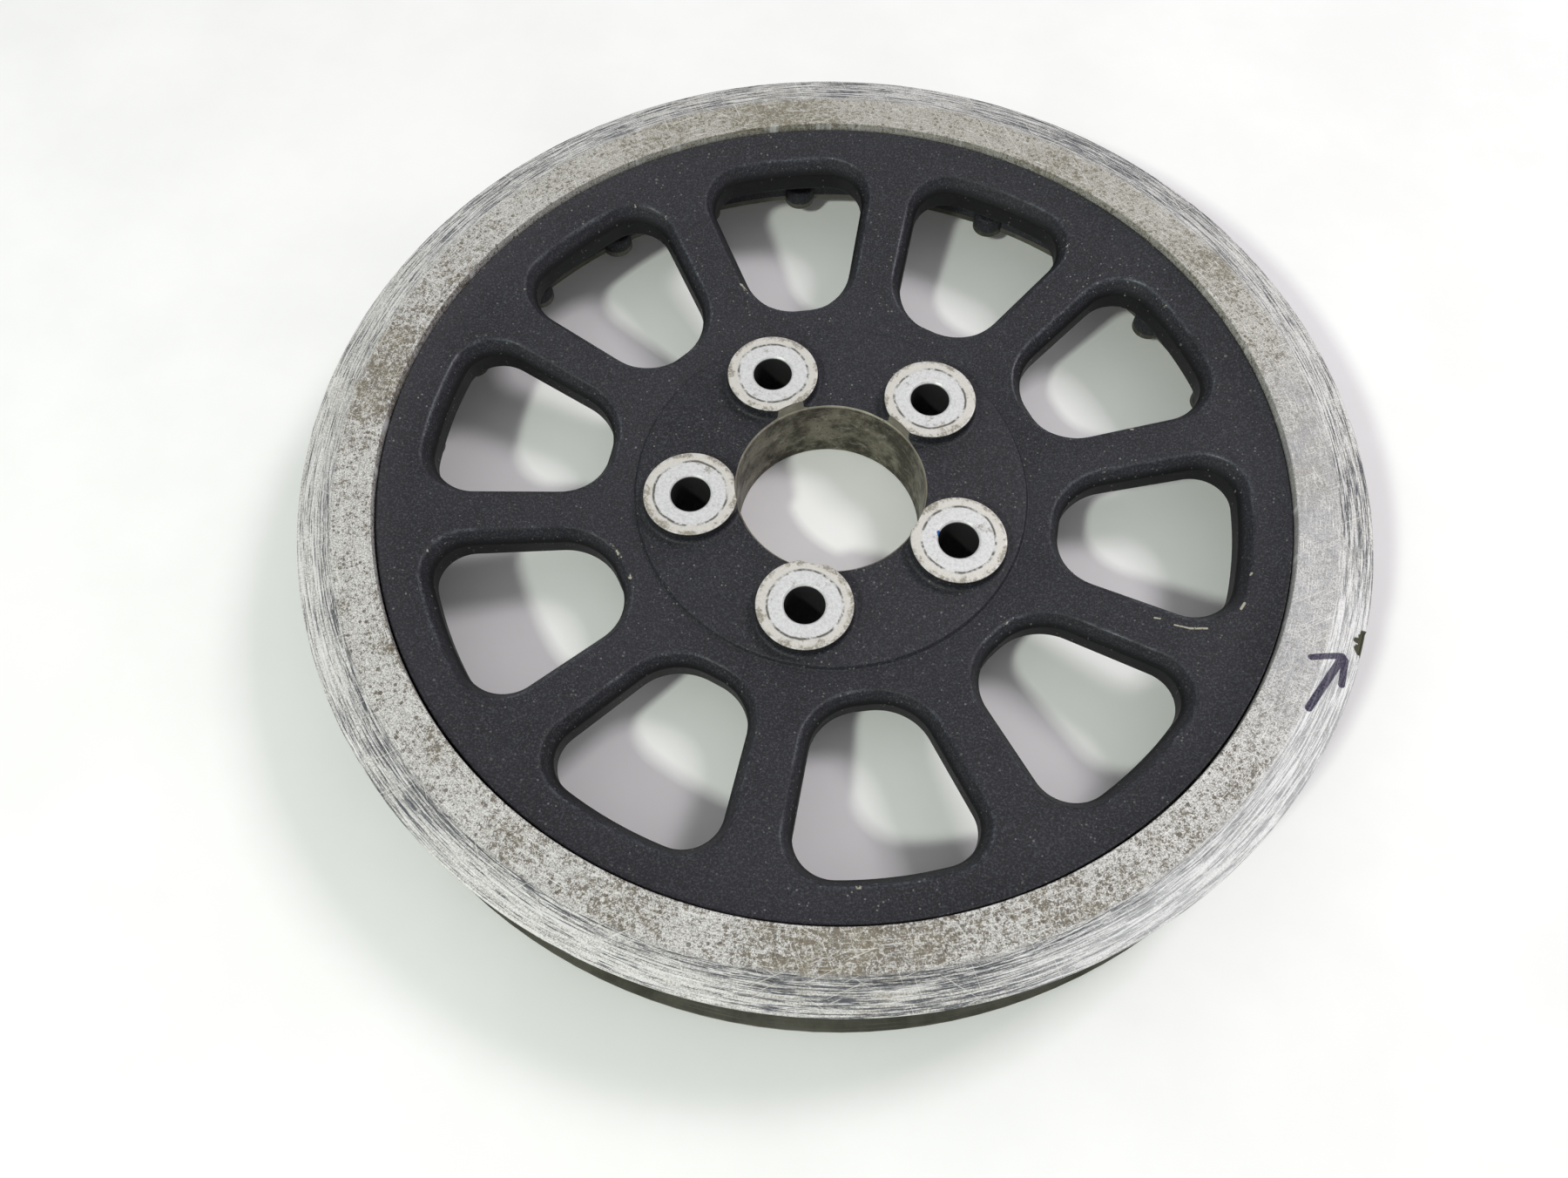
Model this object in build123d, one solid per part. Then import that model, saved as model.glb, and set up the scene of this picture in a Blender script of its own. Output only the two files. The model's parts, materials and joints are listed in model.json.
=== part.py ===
from build123d import *
import os
from math import atan, cos, degrees, pi, sin, sqrt

os.makedirs("parts", exist_ok=True)

# Rear-wheel toothed-belt pulley of a motorcycle, lying outboard face up.
# Origin: centre of the hub's mounting face, the flat inboard face that bolts to the wheel.
# +Z is the wheel axis and points outboard.  -Y passes through a bolt hole, +X through a window.
# All lengths are in millimetres, heights are above the mounting face.

# ---------------------------------------------------------------- belt and teeth
TOOTH_COUNT = 66
BELT_PITCH = 14.0
BELT_CHANNEL = 28.8          # between the flanges, for a belt 28.6 wide
PITCH_LINE_OFFSET = 1.4      # tooth tips lie this far inside the pitch circle
TOOTH_DEPTH = 6.0
GROOVE_R = 4.6               # round bottom of a tooth space
GROOVE_MOUTH = 10.4          # width of a tooth space at the tips
TOOTH_TIP_FILLET = 0.9

# ---------------------------------------------------------------- flanges
FLANGE_R = 150.5
FLANGE_T = 2.0
FACE_INNER_R = 130.0         # inner edge of the bare outboard face
BEVEL_START_R = 141.7
BEVEL_DROP = 1.0
EDGE_BREAK = 0.3
RING_SEAT_R = 136.0          # the outboard ring is thicker inside this radius
RING_SEAT_DEPTH = 6.0
RIM_TOP = 39.5

# ---------------------------------------------------------------- hub
BORE_R = 27.94
BORE_CHAMFER = 0.5
HUB_R = 57.5
HUB_TOP = 24.5
HUB_STEP = 1.2
HUB_STEP_RUN = 0.7
HUB_BACK_R = 54.5
HUB_BACK_DRAFT = 1.5
BOLT_COUNT = 5
BOLT_PCD = 82.55
BOLT_HOLE_R = 5.86
BOLT_HOLE_CHAMFER = 0.5
BOSS_R = 13.77
BOSS_HEIGHT = 4.15
BOSS_FOOT_FILLET = 1.2

# ---------------------------------------------------------------- dished web and its windows
WEB_SLOPE = 0.1826           # rise per millimetre of radius
WEB_STRAIGHT_R = 119.5       # outside this radius the dish curves up to the rim
WEB_EDGE_DROP = 1.6          # the dish ends this far below the bare outboard face
WEB_BACK_SLOPE = 0.169
WEB_BACK_R = 68.0
WEB_BACK_Z = 15.2
WINDOW_COUNT = 10
WINDOW_OUTER_R = 116.8
WINDOW_INNER_X = 67.8
FLANK_SLOPE = 0.305
FLANK_OFFSET = -7.4
WINDOW_OUTER_CORNER_R = 10.8
WINDOW_INNER_CORNER_R = 15.5
BORDER_DEPTH = 4.4           # sloping border around a window, depth below the web
BORDER_WIDTH = 2.75

# ---------------------------------------------------------------- rim and inboard ring
RIM_INNER_R = 128.6
RIM_DRAFT = 1.0
LUG_COUNT = 24
LUG_CIRCLE_R = 129.0
LUG_R = 5.0
LUG_HEIGHT = 5.0
LUG_CHAMFER = 1.0
SCREW_SHANK_R = 1.9
SCREW_HEAD_R = 3.4
SCREW_HEAD_T = 1.5
SCREW_LENGTH = 10.0
SCREW_SOCKET_R = 1.25
SCREW_SOCKET_DEPTH = 1.0

# ---------------------------------------------------------------- ribs behind the spokes
RIB_HALF_WIDTH = 3.0
RIB_DEPTH = 6.0
RIB_ROOT = 1.0               # overlap of a rib with the metal it grows from

# ---------------------------------------------------------------- derived sizes
PITCH_R = TOOTH_COUNT * BELT_PITCH / (2 * pi)
TIP_R = PITCH_R - PITCH_LINE_OFFSET
ROOT_R = TIP_R - TOOTH_DEPTH
RIM_WIDTH = BELT_CHANNEL + 2 * FLANGE_T
RIM_BOTTOM = RIM_TOP - RIM_WIDTH
TEETH_BOTTOM = RIM_BOTTOM + FLANGE_T
TEETH_TOP = RIM_TOP - FLANGE_T
SEAT_Z = RIM_TOP - RING_SEAT_DEPTH
WEB_START_R = HUB_R + HUB_STEP_RUN
WEB_START_Z = HUB_TOP - HUB_STEP
BOSS_TOP = HUB_TOP + BOSS_HEIGHT
WINDOW_STEP = 360 / WINDOW_COUNT
BOLT_START = -90
SPOKE_START = WINDOW_STEP / 2
OVERCUT = 60.0


def web_top(r):
    """Height of the outboard face of the dished web at radius r."""
    return WEB_START_Z + WEB_SLOPE * (r - WEB_START_R)


def web_back(r):
    """Height of the inboard face of the web at radius r."""
    return WEB_BACK_Z + WEB_BACK_SLOPE * (r - WEB_BACK_R)


def turned(*edges):
    """Solid of revolution about Z from a closed outline of (radius, height) edges."""
    return revolve(Plane.XZ * make_face(Wire(list(edges))), Axis.Z, 360)


def turned_ring(*points):
    """Solid of revolution about Z from straight-sided (radius, height) corners."""
    return turned(*Polyline(*points, close=True).edges())


def cylinder_between(radius, low, high):
    """Upright cylinder on the Z axis."""
    return Pos(0, 0, low) * extrude(Circle(radius), high - low)


def hole_cutter(radius, top, chamfer):
    """Through hole on the Z axis, chamfered at the mounting face and at the height top."""
    return turned_ring(
        (0, -OVERCUT),
        (radius + chamfer, -OVERCUT),
        (radius + chamfer, 0),
        (radius, chamfer),
        (radius, top - chamfer),
        (radius + chamfer, top),
        (radius + chamfer, OVERCUT),
        (0, OVERCUT),
    )


def window_outline():
    """Rounded trapezoid, narrow end towards the hub, centred on +X."""
    lean = atan(FLANK_SLOPE)
    normal = Vector(-sin(lean), cos(lean))
    along = Vector(cos(lean), sin(lean))
    flank_distance = FLANK_OFFSET * cos(lean)

    outer_offset = flank_distance - WINDOW_OUTER_CORNER_R
    outer_reach = WINDOW_OUTER_R - WINDOW_OUTER_CORNER_R
    outer_centre = normal * outer_offset + along * sqrt(outer_reach**2 - outer_offset**2)
    outer_on_arc = outer_centre + outer_centre.normalized() * WINDOW_OUTER_CORNER_R
    outer_on_flank = outer_centre + normal * WINDOW_OUTER_CORNER_R

    inner_x = WINDOW_INNER_X + WINDOW_INNER_CORNER_R
    inner_y = (flank_distance - WINDOW_INNER_CORNER_R - normal.X * inner_x) / normal.Y
    inner_centre = Vector(inner_x, inner_y)
    inner_on_flank = inner_centre + normal * WINDOW_INNER_CORNER_R
    inner_on_end = inner_centre - Vector(WINDOW_INNER_CORNER_R, 0)

    def mid(centre, a, b, radius):
        return centre + ((a - centre) + (b - centre)).normalized() * radius

    def flip(v):
        return Vector(v.X, -v.Y)

    outer_mid = mid(outer_centre, outer_on_arc, outer_on_flank, WINDOW_OUTER_CORNER_R)
    inner_mid = mid(inner_centre, inner_on_flank, inner_on_end, WINDOW_INNER_CORNER_R)
    edges = [
        ThreePointArc(flip(outer_on_arc), Vector(WINDOW_OUTER_R, 0), outer_on_arc),
        ThreePointArc(outer_on_arc, outer_mid, outer_on_flank),
        Line(outer_on_flank, inner_on_flank),
        ThreePointArc(inner_on_flank, inner_mid, inner_on_end),
        Line(inner_on_end, flip(inner_on_end)),
        ThreePointArc(flip(inner_on_end), flip(inner_mid), flip(inner_on_flank)),
        Line(flip(inner_on_flank), flip(outer_on_flank)),
        ThreePointArc(flip(outer_on_flank), flip(outer_mid), flip(outer_on_arc)),
    ]
    return make_face(Wire(edges))


def window_cutter():
    """Straight opening plus the sloping border that follows the dish."""
    face = window_outline()
    opening = extrude(face, OVERCUT)
    tilt = atan(WEB_SLOPE)
    border_low = Vector(0, 0, web_top(0) - BORDER_DEPTH)
    seat = Plane(border_low, x_dir=(cos(tilt), 0, sin(tilt)), z_dir=(-sin(tilt), 0, cos(tilt)))
    taper = degrees(atan(BORDER_WIDTH / BORDER_DEPTH))
    border = seat * extrude(face, 2 * BORDER_DEPTH, taper=-taper)
    return opening + border


def casting_core():
    """Hub, dished web and inner rim as one turned blank, without teeth or openings."""
    dish_start = Vector(WEB_STRAIGHT_R, web_top(WEB_STRAIGHT_R))
    dish_end = Vector(FACE_INNER_R, RIM_TOP - WEB_EDGE_DROP)
    rest = Polyline(
        dish_end,
        (FACE_INNER_R, SEAT_Z),
        (RING_SEAT_R, SEAT_Z),
        (RING_SEAT_R, TEETH_BOTTOM),
        (RIM_INNER_R, TEETH_BOTTOM),
        (RIM_INNER_R - RIM_DRAFT, web_back(RIM_INNER_R - RIM_DRAFT)),
        (HUB_BACK_R + HUB_BACK_DRAFT, web_back(HUB_BACK_R + HUB_BACK_DRAFT)),
        (HUB_BACK_R, 0),
        (BORE_R, 0),
        (BORE_R, HUB_TOP),
        (HUB_R, HUB_TOP),
        (WEB_START_R, WEB_START_Z),
        dish_start,
    )
    dish = TangentArc(dish_start, dish_end, tangent=(1, WEB_SLOPE))
    return turned(dish, *rest.edges())


def tooth_space():
    """Outline of one tooth space on +X, open past the tooth tips."""
    bottom = ROOT_R + GROOVE_R
    past = TIP_R + GROOVE_R
    lean = (GROOVE_MOUTH / 2 - GROOVE_R) / (TIP_R - bottom)
    mouth = GROOVE_R + lean * (past - bottom)
    sides = Polyline((bottom, GROOVE_R), (past, mouth), (past, -mouth), (bottom, -GROOVE_R))
    cap = ThreePointArc((bottom, -GROOVE_R), (ROOT_R, 0), (bottom, GROOVE_R))
    return make_face(Wire([*sides.edges(), cap]))


def toothed_band():
    """Belt teeth and the band of rim that carries them."""
    disc = Circle(TIP_R) - PolarLocations(0, TOOTH_COUNT) * tooth_space()
    tips = [v for v in disc.vertices() if abs(sqrt(v.X**2 + v.Y**2) - TIP_R) < 0.01]
    disc = fillet(tips, TOOTH_TIP_FILLET)
    band = disc - Circle(RING_SEAT_R)
    return Pos(0, 0, TEETH_BOTTOM) * extrude(band, TEETH_TOP - TEETH_BOTTOM)


def bosses():
    """Five raised seats for the bolt heads, filleted into the hub face."""
    foot_outer = Vector(BOSS_R + BOSS_FOOT_FILLET, HUB_TOP)
    foot_inner = Vector(BOSS_R, HUB_TOP + BOSS_FOOT_FILLET)
    bulge = BOSS_FOOT_FILLET * (1 - sqrt(0.5))
    foot = ThreePointArc(foot_outer, (BOSS_R + bulge, HUB_TOP + bulge), foot_inner)
    rest = Polyline(
        foot_inner,
        (BOSS_R, BOSS_TOP - EDGE_BREAK),
        (BOSS_R - EDGE_BREAK, BOSS_TOP),
        (0, BOSS_TOP),
        (0, WEB_START_Z),
        (BOSS_R + BOSS_FOOT_FILLET, WEB_START_Z),
        foot_outer,
    )
    seat = Pos(BOLT_PCD / 2, 0, 0) * turned(foot, *rest.edges())
    return PolarLocations(0, BOLT_COUNT, BOLT_START) * seat


def lugs():
    """Rounded pads on the rim's inner wall that take the ring's screws."""
    pad_top = TEETH_BOTTOM + LUG_HEIGHT
    pad = turned_ring(
        (0, TEETH_BOTTOM),
        (LUG_R, TEETH_BOTTOM),
        (LUG_R, pad_top - LUG_CHAMFER),
        (LUG_R - LUG_CHAMFER, pad_top),
        (0, pad_top),
    )
    return PolarLocations(0, LUG_COUNT) * (Pos(LUG_CIRCLE_R, 0, 0) * pad)


def spoke_ribs():
    """One low stiffening rib behind each spoke, from the hub to the rim."""
    corners = [
        (HUB_BACK_R, web_back(HUB_BACK_R) + RIB_ROOT),
        (RIM_INNER_R + RIB_ROOT, web_back(RIM_INNER_R) + RIB_ROOT),
        (RIM_INNER_R + RIB_ROOT, web_back(RIM_INNER_R) - RIB_DEPTH),
        (HUB_BACK_R, web_back(HUB_BACK_R) - RIB_DEPTH),
    ]
    side = Plane.XZ * make_face(Polyline(*corners, close=True))
    rib = extrude(side, RIB_HALF_WIDTH, both=True)
    return PolarLocations(0, WINDOW_COUNT, SPOKE_START) * rib


def pulley_casting():
    """Cast hub, spokes, rim and teeth: one piece."""
    body = casting_core() + toothed_band() + bosses() + lugs() + spoke_ribs()
    body -= PolarLocations(0, WINDOW_COUNT) * window_cutter()
    body -= hole_cutter(BORE_R, HUB_TOP, BORE_CHAMFER)
    hole = Pos(BOLT_PCD / 2, 0, 0) * hole_cutter(BOLT_HOLE_R, BOSS_TOP, BOLT_HOLE_CHAMFER)
    body -= PolarLocations(0, BOLT_COUNT, BOLT_START) * hole
    screw_hole = Pos(LUG_CIRCLE_R, 0, 0) * cylinder_between(SCREW_SHANK_R, 0, RIM_BOTTOM + SCREW_LENGTH)
    body -= PolarLocations(0, LUG_COUNT) * screw_hole
    return body


def outboard_flange_ring():
    """Bare machined ring on a register of the casting: the outboard belt flange."""
    return turned_ring(
        (FACE_INNER_R, SEAT_Z),
        (RING_SEAT_R, SEAT_Z),
        (RING_SEAT_R, TEETH_TOP),
        (FLANGE_R, TEETH_TOP),
        (FLANGE_R, RIM_TOP - BEVEL_DROP - EDGE_BREAK),
        (FLANGE_R - EDGE_BREAK, RIM_TOP - BEVEL_DROP),
        (BEVEL_START_R, RIM_TOP),
        (FACE_INNER_R, RIM_TOP),
    )


def screw_seat():
    """Countersink and clearance hole of one ring screw, on +X."""
    cone = turned_ring(
        (0, RIM_BOTTOM),
        (SCREW_HEAD_R, RIM_BOTTOM),
        (SCREW_SHANK_R, RIM_BOTTOM + SCREW_HEAD_T),
        (SCREW_SHANK_R, TEETH_BOTTOM),
        (0, TEETH_BOTTOM),
    )
    return Pos(LUG_CIRCLE_R, 0, 0) * cone


def inboard_flange_ring():
    """Flat ring with an ear under every lug: the inboard belt flange."""
    plate = turned_ring(
        (RIM_INNER_R, RIM_BOTTOM),
        (FLANGE_R - EDGE_BREAK, RIM_BOTTOM),
        (FLANGE_R, RIM_BOTTOM + EDGE_BREAK),
        (FLANGE_R, TEETH_BOTTOM),
        (RIM_INNER_R, TEETH_BOTTOM),
    )
    ear = Pos(LUG_CIRCLE_R, 0, RIM_BOTTOM) * extrude(Circle(LUG_R), FLANGE_T)
    plate += PolarLocations(0, LUG_COUNT) * ear
    plate -= PolarLocations(0, LUG_COUNT) * screw_seat()
    return plate


def flange_screws():
    """Countersunk socket screws, one in each lug."""
    screw = turned_ring(
        (0, RIM_BOTTOM + SCREW_SOCKET_DEPTH),
        (SCREW_SOCKET_R, RIM_BOTTOM + SCREW_SOCKET_DEPTH),
        (SCREW_SOCKET_R, RIM_BOTTOM),
        (SCREW_HEAD_R, RIM_BOTTOM),
        (SCREW_SHANK_R, RIM_BOTTOM + SCREW_HEAD_T),
        (SCREW_SHANK_R, RIM_BOTTOM + SCREW_LENGTH),
        (0, RIM_BOTTOM + SCREW_LENGTH),
    )
    placed = PolarLocations(0, LUG_COUNT) * (Pos(LUG_CIRCLE_R, 0, 0) * screw)
    return Compound(children=list(placed))


parts = {
    "pulley_casting": pulley_casting(),
    "outboard_flange_ring": outboard_flange_ring(),
    "inboard_flange_ring": inboard_flange_ring(),
    "flange_screws": flange_screws(),
}
for name, shape in parts.items():
    export_step(shape, f"parts/{name}.step")
    print(name, round(shape.volume), "mm3")
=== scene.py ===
import json
from math import acos, atan, cos, pi, radians, sin, sqrt, tan

import bmesh
import bpy
import numpy as np
from mathutils import Matrix, Vector


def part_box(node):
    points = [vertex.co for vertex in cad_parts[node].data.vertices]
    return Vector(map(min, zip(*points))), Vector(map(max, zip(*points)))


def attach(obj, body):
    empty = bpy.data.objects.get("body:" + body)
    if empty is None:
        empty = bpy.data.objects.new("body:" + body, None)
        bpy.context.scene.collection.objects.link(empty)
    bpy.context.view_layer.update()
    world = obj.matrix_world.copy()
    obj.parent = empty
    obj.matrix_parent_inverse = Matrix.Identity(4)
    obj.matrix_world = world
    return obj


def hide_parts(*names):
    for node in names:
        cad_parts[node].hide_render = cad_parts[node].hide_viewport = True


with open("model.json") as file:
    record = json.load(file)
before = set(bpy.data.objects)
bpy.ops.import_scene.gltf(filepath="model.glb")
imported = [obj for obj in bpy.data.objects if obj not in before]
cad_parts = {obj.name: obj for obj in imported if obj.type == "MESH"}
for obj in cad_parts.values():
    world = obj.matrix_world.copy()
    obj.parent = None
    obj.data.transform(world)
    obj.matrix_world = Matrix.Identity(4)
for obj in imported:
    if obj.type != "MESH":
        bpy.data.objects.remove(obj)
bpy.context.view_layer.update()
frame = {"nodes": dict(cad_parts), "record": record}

# A toothed-belt wheel pulley lying outboard face up.  Shapes are worked out in millimetres
# about the wheel axis (Z) and become metres when a mesh is made.  A name that ends in _R is a
# distance from the axis, or a round part's own radius.
MM = 0.001


# ---------------------------------------------------------------- sizes taken from the frame
def low(node):
    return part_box(node)[0].z / MM


def high(node):
    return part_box(node)[1].z / MM


def mount(name):
    return next(m["dims"] for m in frame["record"]["mounts"] if m["name"] == name)


RIM_TOP = high("outboard_flange_ring")
FLANGE_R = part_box("outboard_flange_ring")[1].x / MM
RIM_BOTTOM = low("inboard_flange_ring")
TEETH_BOTTOM = high("inboard_flange_ring")
TEETH_TOP = RIM_TOP - (TEETH_BOTTOM - RIM_BOTTOM)
BORE_R = mount("bore")["r_mm"]
BOLT_CIRCLE_R = mount("wheel_bolts")["pcd_mm"] / 2
BOLT_HOLE_R = mount("wheel_bolts")["hole_r_mm"]
BOLTS = mount("wheel_bolts")["count"]

# ---------------------------------------------------------------- counts and angles
# One window and one lug are centred on +X, and one bolt hole on BOLT_START, in degrees.
BOLT_START = -90
WINDOWS = 10
TEETH = 66
LUGS = 24
HALF_WINDOW = radians(180 / WINDOWS)
HALF_BOLT = radians(180 / BOLTS)

# ---------------------------------------------------------------- sizes of the hub
HUB_R = 57.5
HUB_TOP = 24.5
HUB_FACE_R = HUB_R - 0.7
HUB_BACK_R = 54.5
HUB_BACK_FACE_R = HUB_BACK_R - 0.6
HUB_FOOT_R = 56.0
BORE_CHAMFER = 0.5
BORE_EDGE_R = BORE_R + BORE_CHAMFER
BOSS_TOP = 28.65
BOSS_R = 13.77
BOSS_FACE_R = 13.0
BOSS_DRAFT = 0.1
BOSS_FOOT = 1.5
HOLE_CHAMFER = 0.5
HOLE_END_Z = 4
HOLE_LAND_R = 8

# ---------------------------------------------------------------- sizes of the web
WEB_START_R = 58.2
WEB_START_Z = 23.3
WEB_SLOPE = 0.1826
WEB_STRAIGHT_R = 119.5
WEB_BACK_R = 68.0
WEB_BACK_Z = 15.2
WEB_BACK_SLOPE = 0.169
FACE_R = 130.0
FACE_DROP = 1.6
DISH_EDGE_R = 128.85
DISH_GROOVE = 0.45
DISH_RISE = RIM_TOP - FACE_DROP - WEB_START_Z - WEB_SLOPE * (FACE_R - WEB_START_R)
DISH_CURVE = DISH_RISE / (FACE_R - WEB_STRAIGHT_R) ** 2
WINDOW_OUTER_R = 116.8
WINDOW_INNER_X = 67.8
FLANK_SLOPE = 0.305
FLANK_OFFSET = -7.4
OUTER_CORNER_R = 10.8
INNER_CORNER_R = 15.5
BORDER_DEPTH = 4.4
BORDER_WIDTH = 2.75
BORDER_WALL = 1.2
BORDER_BLEND = 1.3
BACK_LIP = 1.2
RIB_HEIGHT = 6.0
RIB_FOOT = 5.2
RIB_HALF_WIDTH = 3.3
RIB_DRAFT = 0.3

# ---------------------------------------------------------------- sizes of the rim
RIM_INNER_R = 128.6
RIM_DRAFT = 1.0
RIM_ROOT_R = RIM_INNER_R - RIM_DRAFT
REGISTER_DEPTH = 4
TIP_R = 145.66
TOOTH_DEPTH = 6.0
GROOVE_R = 4.6
GROOVE_MOUTH = 10.4
TIP_CORNER_R = 0.9
LUG_CIRCLE_R = 129.0
LUG_R = 5.0
LUG_HEIGHT = 5.0
BEVEL_START_R = 141.7
BEVEL_DROP = 1.0


def web_top(r):
    """Outboard face of the web: a straight dish that curves up to the rim."""
    straight = WEB_START_Z + WEB_SLOPE * (r - WEB_START_R)
    return straight + DISH_CURVE * np.maximum(r - WEB_STRAIGHT_R, 0) ** 2


def web_back(r):
    """Inboard face of the web."""
    return WEB_BACK_Z + WEB_BACK_SLOPE * (r - WEB_BACK_R)


# ---------------------------------------------------------------- outlines
def rounded(corners, radii, steps=5):
    """Polyline through corners with its inner corners rounded; a radius of 0 stays sharp."""
    corners = [np.array(c, float) for c in corners]
    path = [corners[0]]
    for before, corner, after, radius in zip(corners, corners[1:], corners[2:], radii):
        if radius == 0:
            path.append(corner)
            continue
        a = (before - corner) / np.linalg.norm(before - corner)
        b = (after - corner) / np.linalg.norm(after - corner)
        half = acos(np.dot(a, b)) / 2
        centre = corner + (a + b) / np.linalg.norm(a + b) * radius / sin(half)
        first = corner + a * radius / tan(half) - centre
        last = corner + b * radius / tan(half) - centre
        turn = pi - 2 * half
        for f in np.linspace(0, 1, steps + 1):
            spoke = (sin((1 - f) * turn) * first + sin(f * turn) * last) / sin(turn)
            path.append(centre + spoke)
    path.append(corners[-1])
    return np.array(path)


def resample(points, count):
    """count + 1 points evenly along a polyline, with any further columns carried along."""
    steps = np.linalg.norm(np.diff(points[:, :2], axis=0), axis=1)
    run = np.concatenate([[0], np.cumsum(steps)])
    at = np.linspace(0, run[-1], count + 1)
    return np.stack([np.interp(at, run, points[:, k]) for k in range(points.shape[1])], axis=1)


def arc(centre, radius, start, end, steps=40):
    """Rows of x, y and the outward normal along an arc."""
    t = np.linspace(start, end, steps + 1)
    n = np.stack([np.cos(t), np.sin(t)], axis=1)
    return np.hstack([np.array(centre) + radius * n, n])


def mirrored(half, signs=(1, -1)):
    """Closes a half outline with its mirror image across the X axis."""
    return np.vstack([half, half[-2:0:-1] * np.array(signs)])


def window_half_outline():
    """Upper half of a window's opening in three runs: outer end, flank, inner end."""
    lean = atan(FLANK_SLOPE)
    normal = np.array([-sin(lean), cos(lean)])
    along = np.array([cos(lean), sin(lean)])
    flank = FLANK_OFFSET * cos(lean)
    depth = flank - OUTER_CORNER_R
    reach = WINDOW_OUTER_R - OUTER_CORNER_R
    outer = normal * depth + along * sqrt(reach**2 - depth**2)
    outer_angle = np.arctan2(outer[1], outer[0])
    inner_x = WINDOW_INNER_X + INNER_CORNER_R
    inner = np.array([inner_x, (flank - INNER_CORNER_R - normal[0] * inner_x) / normal[1]])
    flank_angle = pi / 2 + lean
    outer_mid = (outer_angle + flank_angle) / 2
    inner_mid = (flank_angle + pi) / 2
    outer_end = np.vstack([
        arc((0, 0), WINDOW_OUTER_R, 0, outer_angle),
        arc(outer, OUTER_CORNER_R, outer_angle, outer_mid)[1:],
    ])
    flank_run = np.vstack([
        arc(outer, OUTER_CORNER_R, outer_mid, flank_angle),
        arc(inner, INNER_CORNER_R, flank_angle, inner_mid),
    ])
    inner_end = np.vstack([
        arc(inner, INNER_CORNER_R, inner_mid, pi),
        [[WINDOW_INNER_X, 0, -1, 0]],
    ])
    return outer_end, flank_run, inner_end


def sector_edge(counts, outer_r, inner_r, half_angle):
    """Closed edge of a wedge of the disc, with as many points as the outline it is joined to."""
    a = np.linspace(0, half_angle, counts[0] + 1)
    r = np.linspace(outer_r, inner_r, counts[1] + 1)
    c = np.linspace(half_angle, 0, counts[2] + 1)
    rim = np.stack([outer_r * np.cos(a), outer_r * np.sin(a)], axis=1)
    side = np.stack([r * cos(half_angle), r * sin(half_angle)], axis=1)
    hub = np.stack([inner_r * np.cos(c), inner_r * np.sin(c)], axis=1)
    return mirrored(np.vstack([rim, side[1:], hub[1:]]))


# ---------------------------------------------------------------- meshes
WELD_GAP = 0.02
SLIVER = 0.005


class Skin:
    """Quads gathered from grids of points (millimetres) and welded into one mesh."""

    def __init__(self):
        self.points = []
        self.quads = []
        self.marks = []
        self.count = 0

    def grid(self, p, closed=False, flip=False, mark=0.0):
        """Quads between neighbouring points; closed joins the last column to the first."""
        rows, cols = p.shape[:2]
        index = np.arange(rows * cols).reshape(rows, cols) + self.count
        if closed:
            index = np.hstack([index, index[:, :1]])
        corners = [index[:-1, :-1], index[:-1, 1:], index[1:, 1:], index[1:, :-1]]
        quad = np.stack(corners[::-1] if flip else corners, axis=-1)
        self.points.append(p.reshape(-1, 3))
        self.quads.append(quad.reshape(-1, 4))
        self.marks.append(np.broadcast_to(mark, (rows, cols)).reshape(-1))
        self.count += rows * cols

    def around(self, times, start, add, *args, **kwargs):
        """Adds the same grid at equal angles about the axis, from start degrees on."""
        for k in range(times):
            turn = radians(start + 360 / times * k)
            spin = np.array([[cos(turn), sin(turn), 0], [-sin(turn), cos(turn), 0], [0, 0, 1]])
            self.grid(add @ spin, *args, **kwargs)

    def piece(self, name, material, node, sharp=40):
        """One smooth-shaded object that stands for a CAD node and rides on its body."""
        mesh = bpy.data.meshes.new(name)
        bm = bmesh.new()
        layer = bm.verts.layers.float.new("mark")
        marks = np.concatenate(self.marks)
        verts = []
        for co, value in zip(np.concatenate(self.points) * MM, marks):
            v = bm.verts.new(co)
            v[layer] = value
            verts.append(v)
        for q in np.concatenate(self.quads):
            bm.faces.new([verts[i] for i in q])
        bmesh.ops.remove_doubles(bm, verts=bm.verts, dist=WELD_GAP * MM)
        bmesh.ops.dissolve_degenerate(bm, dist=SLIVER * MM, edges=bm.edges)
        for f in bm.faces:
            f.smooth = True
        for e in bm.edges:
            if len(e.link_faces) == 2 and e.calc_face_angle(0) > radians(sharp):
                e.smooth = False
        bm.to_mesh(mesh)
        bm.free()
        obj = bpy.data.objects.new(name, mesh)
        bpy.context.scene.collection.objects.link(obj)
        mesh.materials.append(material)
        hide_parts(node)
        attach(obj, "root")


def lathe(profile, steps=720):
    """Grid of a (radius, height) profile turned about the axis."""
    profile = np.array(profile)
    t = np.linspace(0, 2 * pi, steps, endpoint=False)
    r = profile[:, 0][:, None]
    z = np.broadcast_to(profile[:, 1][:, None], (len(profile), steps))
    return np.stack([r * np.cos(t), r * np.sin(t), z], axis=-1)


def stack(layers):
    """Rows of (xy, z) as one grid of points."""
    return np.stack([np.hstack([xy, np.broadcast_to(z, len(xy))[:, None]]) for xy, z in layers])


def radius(xy):
    return np.hypot(xy[:, 0], xy[:, 1])


def between(a, b, t):
    return a + (b - a) * t


# ---------------------------------------------------------------- casting: web
def border_section():
    """Distance out from the opening and height over the web: wall, sloping border, blend."""
    corners = [
        (0, -BORDER_DEPTH - BORDER_WALL),
        (0, -BORDER_DEPTH),
        (BORDER_WIDTH, 0),
        (BORDER_WIDTH + BORDER_BLEND, 0),
    ]
    return rounded(corners, [1.2, 1.3], 6)


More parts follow.
